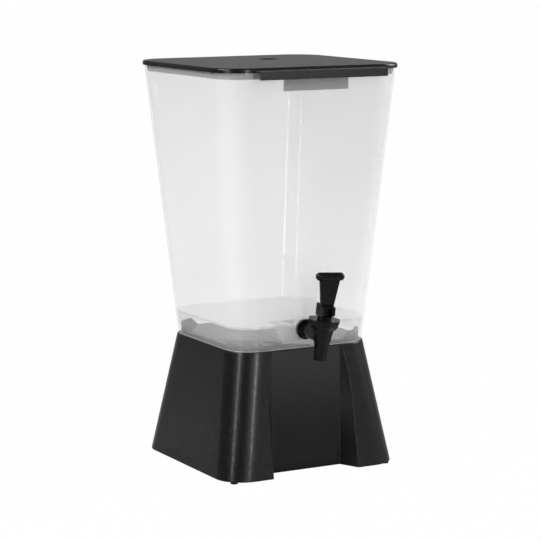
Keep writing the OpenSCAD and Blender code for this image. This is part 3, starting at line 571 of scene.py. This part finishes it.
# The tap's body: a tapered, eight-sided spout with a round neck, a flange and a threaded
# shank, moulded in black nylon with a soft gloss. The shank goes through the tank's wall.
TAP_X, TAP_Z, REACH = -2.4, 200.5, 47.0
LEAN, TAP_TURN = math.atan(TANK_SLOPE), math.radians(4.2)
FLATS_TURN, FLAT_R = 13.0, 1.5
OUTLET_Z, SEAT_Z, SHOULDER_Z, MOUTH_Z = -31.2, -10.0, 12.4, 19.4
OUTLET_W, SEAT_W, SHOULDER_W, MOUTH_W, CHAMBER_W, HOLE_W = 18.0, 20.4, 28.5, 24.0, 16.4, 11.6
THREAD_ROOT, THREAD_CREST, PITCH, SHANK_END, BORE_R = 7.2, 7.9, 2.0, 24.0, 5.25
tap_turned = np.array(Matrix.Rotation(LEAN, 3, "X") @ Matrix.Rotation(TAP_TURN, 3, "Y"))


def at_wall(points):
    """From the tap's frame, whose Y runs inwards along the shank from the wall's outside."""
    return points @ tap_turned.T + [TAP_X, MID_Y - tank_half(TAP_Z), TAP_Z]


def at_spout(points):
    """From the frame of the tap's upright axis."""
    return at_wall(points + [0, -REACH, 0])


def on_shank(points):
    """From a turned profile's frame, with its heights along the shank."""
    return at_wall(points[..., [0, 2, 1]])


def eight_loops(width, z, roundness=0.0):
    """Eight-sided loops, width across the flats, edges rounded, or blended into circles."""
    width, z = np.asarray(width, float)[:, None, None], np.asarray(z, float)
    corner = np.radians(FLATS_TURN + 22.5 + 45 * np.arange(8))[:, None]
    turn = corner + np.radians(np.linspace(-22.5, 22.5, 7))
    r = np.minimum(FLAT_R, 0.3 * width)
    reach = (width / 2 - r) / math.cos(math.pi / 8)
    x = (reach * np.cos(corner) + r * np.cos(turn)).reshape(len(z), -1)
    y = (reach * np.sin(corner) + r * np.sin(turn)).reshape(len(z), -1)
    angle = np.arctan2(y, x)
    blend = np.broadcast_to(np.asarray(roundness, float), z.shape)[:, None]
    x = x * (1 - blend) + width[:, 0] / 2 * np.cos(angle) * blend
    y = y * (1 - blend) + width[:, 0] / 2 * np.sin(angle) * blend
    return np.stack([x, y, np.broadcast_to(z[:, None], x.shape)], -1)


def spout_rings():
    """The body from its outlet up its outside and back down its chamber to the outlet. Its
    width falls evenly from the shoulder to the seat, then by a parabola to the outlet."""
    low = np.linspace(OUTLET_Z + 0.6, SEAT_Z, 9)
    low_w = OUTLET_W + (SEAT_W - OUTLET_W) * ((low - OUTLET_Z) / (SEAT_Z - OUTLET_Z)) ** 2
    high = np.linspace(SEAT_Z, SHOULDER_Z - 0.5, 6)[1:]
    high_w = SEAT_W + (SHOULDER_W - SEAT_W) * (high - SEAT_Z) / (SHOULDER_Z - SEAT_Z)
    lip_w, lip_z = [HOLE_W, 12.4, 17.3, 17.8], [OUTLET_Z + 0.4, OUTLET_Z, OUTLET_Z, OUTLET_Z + 0.2]
    top_w = [27.9, MOUTH_W, MOUTH_W, CHAMBER_W, CHAMBER_W, HOLE_W]
    top_z = [SHOULDER_Z, SHOULDER_Z, MOUTH_Z, MOUTH_Z, SEAT_Z, SEAT_Z]
    round_part = np.concatenate([[1, 1, 0, 0], 0 * low, 0 * high, [0, 1, 1, 1, 1, 1]])
    width, z = np.concatenate([lip_w, low_w, high_w, top_w]), np.concatenate([lip_z, low, high, top_z])
    return at_spout(eight_loops(width, z, round_part))


def shank_rings():
    """The shank's thread: its radius falls and rises with the height, in pitches, less the
    turn; the bore closes its inner end."""
    y = np.linspace(-2, SHANK_END - 0.6, 128)
    turn = np.radians(np.linspace(0, 360, 49)[:-1])
    wave = np.abs((y[:, None] / PITCH - turn / (2 * np.pi)) % 1 * 2 - 1)
    radius = np.minimum(THREAD_CREST, THREAD_ROOT + 0.9 * wave)
    end = np.array([(7.3, SHANK_END), (BORE_R, SHANK_END), (BORE_R, 10)])
    radius = np.concatenate([np.full((1, 48), THREAD_ROOT), radius, end[:, :1] + 0 * turn])
    y = np.concatenate([[-3], y, end[:, 1]])
    return at_wall(np.stack([radius * np.cos(turn), y[:, None] + 0 * turn, radius * np.sin(turn)], -1))


neck = [
    (0, -REACH), (9.25, -REACH), (9.25, -6.2), (9.6, -5), (10.6, -4.2), (12.9, -4), (13.75, -3.85),
    (14.15, -3.5), (14.25, -3), (14.25, -2.5), (14.05, -2.1), (13.7, -2), (0, -2)]
tap = make_piece("tap_spout", skin(spout_rings(), loop=True), turned(neck, on_shank), skin(shank_rings()))
tap_gloss, shader, place = new_finish("tap_gloss", Specular_IOR_Level=0.2)
grain = place.noise(1100, 3.0)
cloud = place.noise(70, 3.0)
feed(
    shader, 0.5 * grain + cloud, 0.0002, 0.2,
    Base_Color=(0.5 * grain + 0.5 * cloud).colours((0.003, 0.003, 0.0031), (0.006, 0.006, 0.0062)),
    Roughness=0.1 + 0.05 * cloud + 0.03 * grain)
dress(tap, tap_gloss, "tank", "tap_plastic", "tap_body")

# The seals on the shank: a rubber gasket on either side of the wall, and a slippery white
# washer under the nut, each a flat ring cut or moulded with eased edges.
SEAL_IN, SEAL_OUT, OUTER_T, INNER_T, WASHER_T = 8.25, 12.5, 2.0, 2.4, 1.4
seal_rubber, shader, place = new_finish("seal_rubber", Specular_IOR_Level=0.3)
mottle = place.noise(1200, 3.0)
feed(
    shader, mottle, 0.0002, 0.3,
    Base_Color=mottle.colours((0.018, 0.018, 0.018), (0.035, 0.035, 0.035)),
    Roughness=0.6 + 0.25 * mottle)
washer_white, shader, place = new_finish("washer_white")
mottle = place.noise(500, 3.0)
feed(
    shader, mottle, 0.0001, 0.2,
    Base_Color=mottle.colours((0.62, 0.62, 0.6), (0.74, 0.74, 0.72)),
    Roughness=0.35 + 0.15 * mottle)


def flat_ring(inner, outer, low, high, place, ease=0.25):
    """A flat ring's section, a rectangle with eased corners, turned about its axis."""
    section = [
        (inner, low + ease), (inner + ease, low), (outer - ease, low), (outer, low + ease),
        (outer, high - ease), (outer - ease, high), (inner + ease, high), (inner, high - ease)]
    return turned(section, place, loop=True)


wall_in = TANK_WALL * math.cos(LEAN)
for name, low, thick, finish, slot in (
        ("outer_gasket", -OUTER_T, OUTER_T, seal_rubber, "seal_rubber"),
        ("inner_gasket", wall_in, INNER_T, seal_rubber, "seal_rubber"),
        ("slip_washer", wall_in + INNER_T, WASHER_T, washer_white, "washer_plastic")):
    ring = make_piece(name + "_ring", flat_ring(SEAL_IN, SEAL_OUT, low, low + thick, on_shank))
    dress(ring, finish, "tank", slot, name)

# The wing nut: a white nylon hub with two swept wings, screwed on the shank by hand from
# inside the tank, so that the gaskets seal the wall.
HUB, HUB_IN, HUB_OUT, WING_TURN = 11.0, 7.95, 11.5, 6.0
NUT_LOW = wall_in + INNER_T + WASHER_T
NUT_TOP = NUT_LOW + HUB


def wing_rings(side):
    """A wing's outline in the plane of the shank, carried through its thickness; its edges
    are eased by drawing the outer outlines in towards their middle."""
    line = np.array([
        (9.7, NUT_LOW + 1), (13.5, NUT_LOW + 1), (22, NUT_LOW + 2.6), (29.6, NUT_TOP - 5.8), (31, NUT_TOP - 4),
        (31, NUT_TOP + 3.2), (29.8, NUT_TOP + 5.4), (27.6, NUT_TOP + 6), (24, NUT_TOP + 3.4),
        (13.5, NUT_TOP - 1), (9.7, NUT_TOP - 1)])
    middle = line.mean(0)
    ease = np.array([0.93, 0.98, 1, 1, 0.98, 0.93])[:, None, None]
    height = np.array([-2, -1.7, -1.1, 1.1, 1.7, 2])
    flat = middle + (line - middle) * ease
    points = np.stack([side * flat[..., 0], flat[..., 1], side * (height[:, None] + 0 * flat[..., 0])], -1)
    tilt = np.array(Matrix.Rotation(math.radians(WING_TURN), 3, "Y"))
    return at_wall(points @ tilt.T)


hub = flat_ring(HUB_IN, HUB_OUT, NUT_LOW, NUT_TOP, on_shank, 0.6)
nut = make_piece("wing_nut_grip", hub, skin(wing_rings(1)), skin(wing_rings(-1)))
dress(nut, washer_white, "tank", "washer_plastic", "wing_nut")

# The bonnet: a black collar that flares upwards in eight flats, screwed on the body's top,
# with a round boss that the lever's cams ride on. Its lower edge is scalloped, where the
# flats run out into a cone. A flat ring seals it to the body.
COLLAR_LOW, COLLAR_TOP, COLLAR_HALF, COLLAR_FLARE = 12.6, 25.6, 18.0, 3.2
RING_TOP, SPRING_TOP, BOSS_TOP = 20.4, 23.8, 29.3
CONE_R, CONE_SLOPE = 17.8, 0.6273


def collar_rings():
    """The collar from its cone out over its flats and boss and down its bore. The cone's
    radius grows with the height, and it meets the flats higher at their corners than at
    their middles."""
    unit = eight_loops([2 * COLLAR_HALF], [0])[0, :, :2] / COLLAR_HALF
    around, share = np.arctan2(unit[:, 1], unit[:, 0]), np.hypot(unit[:, 0], unit[:, 1])
    tall = COLLAR_TOP - COLLAR_LOW
    flat_slope = COLLAR_FLARE / tall
    meet = (COLLAR_HALF * share - CONE_R) / (CONE_SLOPE - flat_slope * share)

    def flats(h):
        return share * (COLLAR_HALF + flat_slope * h), COLLAR_LOW + h + 0 * share

    cone = [(CONE_R + CONE_SLOPE * meet * k, COLLAR_LOW + meet * k) for k in (0, 0.5, 0.94)]
    side = [flats(meet + (tall - 0.5 - meet) * k) for k in (0.03, 0.2, 0.5, 0.8, 1)]
    (edge_r, edge_z), (top_r, top_z) = flats(tall - 0.42), flats(tall)
    boss = [
        (11.2, COLLAR_TOP), (10.65, COLLAR_TOP + 0.2), (10.5, COLLAR_TOP + 0.8), (10.5, BOSS_TOP - 0.6),
        (10.3, BOSS_TOP - 0.15), (9.8, BOSS_TOP), (3.6, BOSS_TOP), (3.3, BOSS_TOP - 0.3), (3.3, SPRING_TOP),
        (7.2, SPRING_TOP), (7.2, RING_TOP), (12.35, RING_TOP), (12.35, COLLAR_LOW)]
    circles = [(r + 0 * share, z + 0 * share) for r, z in boss]
    r, z = map(np.array, zip(*cone, *side, (edge_r - 0.12, edge_z + 0.3), (top_r - 0.6, top_z), *circles))
    return at_spout(np.stack([r * np.cos(around), r * np.sin(around), z], -1))


bonnet = make_piece("bonnet_collar", skin(collar_rings(), loop=True))
dress(bonnet, tap_gloss, "tank", "tap_plastic", "bonnet")
bonnet_ring = make_piece("bonnet_ring", flat_ring(8.2, 12.0, MOUTH_Z, RING_TOP, at_spout, 0.15))
dress(bonnet_ring, seal_rubber, "tank", "seal_rubber", "bonnet_seal")

# The stem and its O-ring: a black nylon rod that the lever lifts. Its round head sits in
# the lever's slot on the pin, its shoulder carries the spring, and a rubber O-ring in the
# bonnet seals it.
PIN_Z, STEM_R, O_RING_R, O_RING_WIRE = 38.1, 3.0, 3.95, 0.9


def on_pin(points):
    """From a turned profile's frame, with its heights along the lever's pin."""
    return at_spout(points[..., [2, 0, 1]] + [0, 0, PIN_Z])


turn = np.linspace(0, 2 * np.pi, 17)[:-1]
o_ring_line = np.stack([
    O_RING_R + O_RING_WIRE * np.cos(turn), (SPRING_TOP + BOSS_TOP) / 2 + O_RING_WIRE * np.sin(turn)], -1)
o_ring = make_piece("stem_o_ring", turned(o_ring_line, at_spout, 48, loop=True))
dress(o_ring, seal_rubber, "tank", "seal_rubber", "stem_seal")
rod = [
    (0, -7.75), (2.7, -7.75), (STEM_R, -7.4), (STEM_R, 3.5), (6.2, 3.5), (6.5, 3.8), (6.5, 5.2), (6.2, 5.5),
    (STEM_R, 5.5), (STEM_R, PIN_Z), (0, PIN_Z)]
head = [(0, -4.3), (4.9, -4.3), (5.25, -3.95), (5.25, 3.95), (4.9, 4.3), (0, 4.3)]
stem = make_piece("stem_rod", turned(rod, at_spout, 40), turned(head, on_pin, 48))
dress(stem, tap_gloss, "valve", "tap_plastic", "valve_stem")

# The seat cup: a pale plug moulded in silicone, which grips the stem's end. Its flat face
# closes the outlet until the lever lifts the stem.
cup_silicone, shader, place = new_finish("cup_silicone", Subsurface_Weight=0.1)
mottle = place.noise(600, 2.0)
feed(
    shader, mottle, 0.0001, 0.2,
    Base_Color=mottle.colours((0.62, 0.6, 0.55), (0.74, 0.72, 0.67)),
    Roughness=0.45 + 0.15 * mottle)
cup_line = [
    (0, SEAT_Z), (6.3, SEAT_Z), (6.6, SEAT_Z + 0.3), (6.6, -7), (4.55, -5.5), (4.55, 3.3), (4.35, 3.5),
    (3.25, 3.5), (3.05, 3.3), (3.05, -7.8), (0, -7.8)]
cup = make_piece("seat_plug", turned(cup_line, at_spout, 48))
dress(cup, cup_silicone, "valve", "cup_silicone", "seat_cup")

# The spring: dark drawn steel wire, wound in five turns between the stem's shoulder and the
# bonnet. It closes the valve, and shortens as the lever lifts the stem.
COIL_LOW, COIL_HIGH, COIL_R, WIRE_R, TURNS = 6.15, 23.15, 5.0, 0.6, 5
spring_steel, shader, place = new_finish("spring_steel", Metallic=1.0)
drawn = place.stretched(1, 1, 6).noise(1500, 2.0)
feed(
    shader, drawn, 0.0001, 0.2,
    Base_Color=drawn.colours((0.1, 0.1, 0.1), (0.16, 0.16, 0.155)),
    Roughness=0.35 + 0.2 * drawn)


def spring_rings():
    """A round section carried up a helix: the path is (cos, sin) of the turn and a height
    that grows evenly; the section lies in the plane of the axis and the radius."""
    t = np.linspace(0, 1, TURNS * 32 + 1)[:, None]
    turn = 2 * np.pi * TURNS * t
    side = np.linspace(0, 2 * np.pi, 13)[:-1]
    r = COIL_R + WIRE_R * np.cos(side)
    z = COIL_LOW + (COIL_HIGH - COIL_LOW) * t + WIRE_R * np.sin(side)
    return at_spout(np.stack([r * np.cos(turn), r * np.sin(turn), z], -1))


spring = make_piece("spring_coil", skin(spring_rings()))
dress(spring, spring_steel, "tank", "spring_steel", "stem_spring")
spring_top = at_spout(np.array([0, 0, SPRING_TOP])) * MM
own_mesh(spring)

# The lever: one black nylon moulding with two cam ears on the pin, a flat tapered paddle
# and a round cross bar on top for a fingertip or a cup's rim.
EAR_IN, EAR_OUT, EAR_TOP, EAR_BACK, EAR_BORE, EAR_EDGE = 4.6, 9.6, 8.5, 9.5, 1.55, 0.45
CAM_LOW, CAM_RATE, TRAVEL = 8.5, 4.0, 45
PADDLE_T, PADDLE_R, PADDLE_HALF = 5.0, 0.7, 15.5
BAR_Z, BAR_R, BAR_HALF = 46.5, 5.7, 16.15


def at_pin(points):
    """From the lever's frame, X along the pin."""
    return at_spout(points + [0, 0, PIN_Z])


def on_bar(points):
    """From a turned profile's frame, with its heights along the cross bar."""
    return at_pin(points[..., [2, 0, 1]] + [0, -PADDLE_T / 2, BAR_Z])


def ear_line():
    """Outline of an ear, Y and Z from the pin: the cam is an involute, whose distance from
    the pin grows by 4 mm for each radian of the lever's travel."""
    a = np.radians(np.linspace(0, TRAVEL, 16))
    reach = CAM_LOW + CAM_RATE * a
    cam_y = -reach * np.sin(a) - CAM_RATE * np.cos(a)
    cam_z = -reach * np.cos(a) + CAM_RATE * np.sin(a)
    back = [
        (-PADDLE_T, EAR_TOP), (8.7, EAR_TOP), (9.3, 8.25), (EAR_BACK, 7.7), (EAR_BACK, -7.7), (9.25, -8.3),
        (8.7, -CAM_LOW)]
    nose_y, nose_z = cam_y[-1], cam_z[-1]
    front = [(nose_y, nose_z + 1), (nose_y + 0.95, 5.1), (nose_y + 1.3, 5.6), (-PADDLE_T, 5.6)]
    return np.concatenate([back, np.stack([cam_y, cam_z], -1), front])


def carried(line, x, ease):
    """An outline in Y and Z carried along X, drawn in by an ease at each x along the normal
    of each point's chord."""
    x, ease = np.asarray(x, float), np.asarray(ease, float)
    chord = np.roll(line, -1, 0) - np.roll(line, 1, 0)
    normal = np.stack([-chord[:, 1], chord[:, 0]], -1) / np.linalg.norm(chord, axis=1)[:, None]
    inner = line + ease[:, None, None] * normal * np.sign(np.sum(normal * (line.mean(0) - line)))
    return np.concatenate([x[:, None, None] + 0 * inner[..., :1], inner], -1)


def ear_rings(side):
    """An ear with its bore: the outline carried through the ear's thickness, and a circle
    round the pin, point for point at the outline's angles, on either face."""
    ease = np.array([EAR_EDGE, 0.13, 0, 0, 0.13, EAR_EDGE])
    x = side * np.array([EAR_IN, EAR_IN + 0.13, EAR_IN + EAR_EDGE, EAR_OUT - EAR_EDGE, EAR_OUT - 0.13, EAR_OUT])
    outer = carried(ear_line(), x, ease)
    angle = np.arctan2(outer[0, :, 2], outer[0, :, 1])
    circle = EAR_BORE * np.stack([0 * angle, np.cos(angle), np.sin(angle)], -1)
    return at_pin(np.concatenate([[circle + [x[0], 0, 0]], outer, [circle + [x[-1], 0, 0]]]))


def paddle_rings():
    """The paddle: round-edged rectangles up the lever, their width growing to the cross bar."""
    z = np.array([6.2, 10, 20, 30, 40, 43.65, BAR_Z])
    half = np.interp(z, [6.6, 43.65], [EAR_OUT, PADDLE_HALF])
    x, y = rounded_plates(half, -PADDLE_T, 0.0, PADDLE_R, 5)
    return at_pin(np.stack([x, y, z[:, None] + 0 * x], -1))


web_line = np.array([
    (-10.25, 3.45), (-10, 3.2), (-5.6, 3.2), (-5.6, 5.5), (9.4, 5.5), (9.48, 7.7), (9.25, 8.25), (8.7, 8.48),
    (-5, 8.48), (-5, 5.58), (-9.8, 5.58), (-10.1, 5.1)])
web = at_pin(carried(web_line, [-5.2, 5.2], [0, 0]))
bar_turn = np.radians(np.linspace(0, 90, 9))
bar_end = np.stack([BAR_R * np.sin(bar_turn), BAR_HALF + BAR_R * np.cos(bar_turn)], -1)
bar_line = np.concatenate([bar_end * [1, -1], bar_end[::-1]])
lever = make_piece(
    "tap_lever", *[skin(ear_rings(side), loop=True) for side in (-1, 1)], skin(web), skin(paddle_rings()),
    turned(bar_line, on_bar, 48))
dress(lever, tap_gloss, "lever", "tap_plastic", "lever")

# The pin: a short steel rod with eased ends, pressed through the stem's head. The lever's
# ears turn on it, and lift it with the stem.
pin_line = [(0, -8.7), (1.3, -8.7), (1.5, -8.5), (1.5, 8.5), (1.3, 8.7), (0, 8.7)]
pin = make_piece("pin_rod", turned(pin_line, on_pin, 32))
dress(pin, spring_steel, "valve", "spring_steel", "lever_pin")

# The studio: a pale floor, glossy as a light table, and a white background. Two tall narrow
# lights stand at the left and in front, and soft ones at each side and behind. The room is
# white to the camera and through the tank, and a soft glow on three sides to the pieces.
FLOOR_WHITE = 0.992
bpy.ops.mesh.primitive_plane_add(size=40)
floor = bpy.context.object
floor.name = "floor"
pale, shader, place = new_finish("floor_pale", Roughness=0.05, Base_Color=(0.45, 0.45, 0.45, 1))
tree = pale.node_tree
rays = Wire(tree, tree.nodes.new("ShaderNodeLightPath").outputs["Is Camera Ray"])
white = rays.add("ShaderNodeEmission", None, {"Color": (1, 1, 1, 1), "Strength": 1.0})
lit = Wire(tree, shader.outputs[0])
mixed = rays.add("ShaderNodeMixShader", None, {0: rays * FLOOR_WHITE, 1: lit, 2: white})
tree.links.new(mixed.socket, tree.nodes["Material Output"].inputs["Surface"])
floor.data.materials.append(pale)
floor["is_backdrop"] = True

world = bpy.data.worlds.new("studio")
bpy.context.scene.world = world
world.use_nodes = True
tree = world.node_tree
light_path = tree.nodes.new("ShaderNodeLightPath")
camera_ray = Wire(tree, light_path.outputs["Is Camera Ray"])
clear_ray = Wire(tree, light_path.outputs["Is Transmission Ray"])
east, north, up = Wire(tree, tree.nodes.new("ShaderNodeTexCoord").outputs["Generated"]).axes()


def glow(strength, x, y):
    """Light from one quarter of the room, round a level direction."""
    return strength * (x * east + y * north).step(0.3, 0.9)


sides = glow(0.12, -0.48, 0.88) + glow(0.25, 0.48, 0.88) + glow(0.45, 0.48, -0.88)
room = sides * (1 - up.step(0.3, 0.8))
seen = camera_ray.most(clear_ray)
backdrop = tree.nodes["Background"]
backdrop.inputs["Color"].default_value = (1, 1, 1, 1)
tree.links.new((room * (1 - seen) + seen).socket, backdrop.inputs["Strength"])

# Each light: degrees from straight ahead, metres away and up, its size, watts, and its tip,
# where 90 degrees is level and less looks down.
for name, azimuth, distance, height, width, tall, power, tip in (
        ("strip_left", -66, 1.3, 0.92, 0.14, 1.4, 5.8, 90),
        ("strip_front", -2, 1.4, 0.92, 0.15, 1.4, 9.5, 90),
        ("side_fill", -95, 1.6, 1.9, 1.0, 1.0, 44, 46),
        ("right_fill", 80, 1.6, 1.2, 0.8, 1.2, 35, 62),
        ("back_top", 152, 1.9, 1.6, 1.4, 0.8, 2, 60)):
    lamp = bpy.data.lights.new(name, "AREA")
    lamp.shape, lamp.size, lamp.size_y, lamp.energy = "RECTANGLE", width, tall, power
    light = bpy.data.objects.new(name, lamp)
    bpy.context.scene.collection.objects.link(light)
    a = math.radians(azimuth)
    light.location = (distance * math.sin(a), -distance * math.cos(a), height)
    light.rotation_euler = (math.radians(tip), 0, a)

# The camera: a long lens, low and to the left of the tap, as the photograph was taken. Its
# place, roll and focal length are fitted to the photograph's edges.
AZIMUTH, PITCH, ROLL, DISTANCE, FOCAL_PX, IMAGE_PX = -28.77, 8.80, -0.13, 3.00544, 2134.0, 540
TARGET_Z, TARGET_RIGHT, SHIFT_PX, SENSOR = 0.26732, 0.00251, -0.62, 36
a, e = math.radians(AZIMUTH), math.radians(PITCH)
back = Vector((math.sin(a) * math.cos(e), -math.cos(a) * math.cos(e), math.sin(e)))
right = Vector((math.cos(a), math.sin(a), 0))
target = Vector((0, MID_Y * MM, TARGET_Z)) + TARGET_RIGHT * right
camera = bpy.data.objects.new("camera", bpy.data.cameras.new("camera"))
bpy.context.scene.collection.objects.link(camera)
turn = Matrix((right, back.cross(right), back)).transposed() @ Matrix.Rotation(math.radians(ROLL), 3, "Z")
camera.matrix_world = Matrix.Translation(target + DISTANCE * back) @ turn.to_4x4()
camera.data.sensor_width = SENSOR
camera.data.lens = SENSOR * FOCAL_PX / IMAGE_PX
camera.data.shift_x = SHIFT_PX / IMAGE_PX
camera.data.clip_end = 100
bpy.context.scene.camera = camera
bpy.context.scene.view_settings.view_transform = "Standard"

low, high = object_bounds()
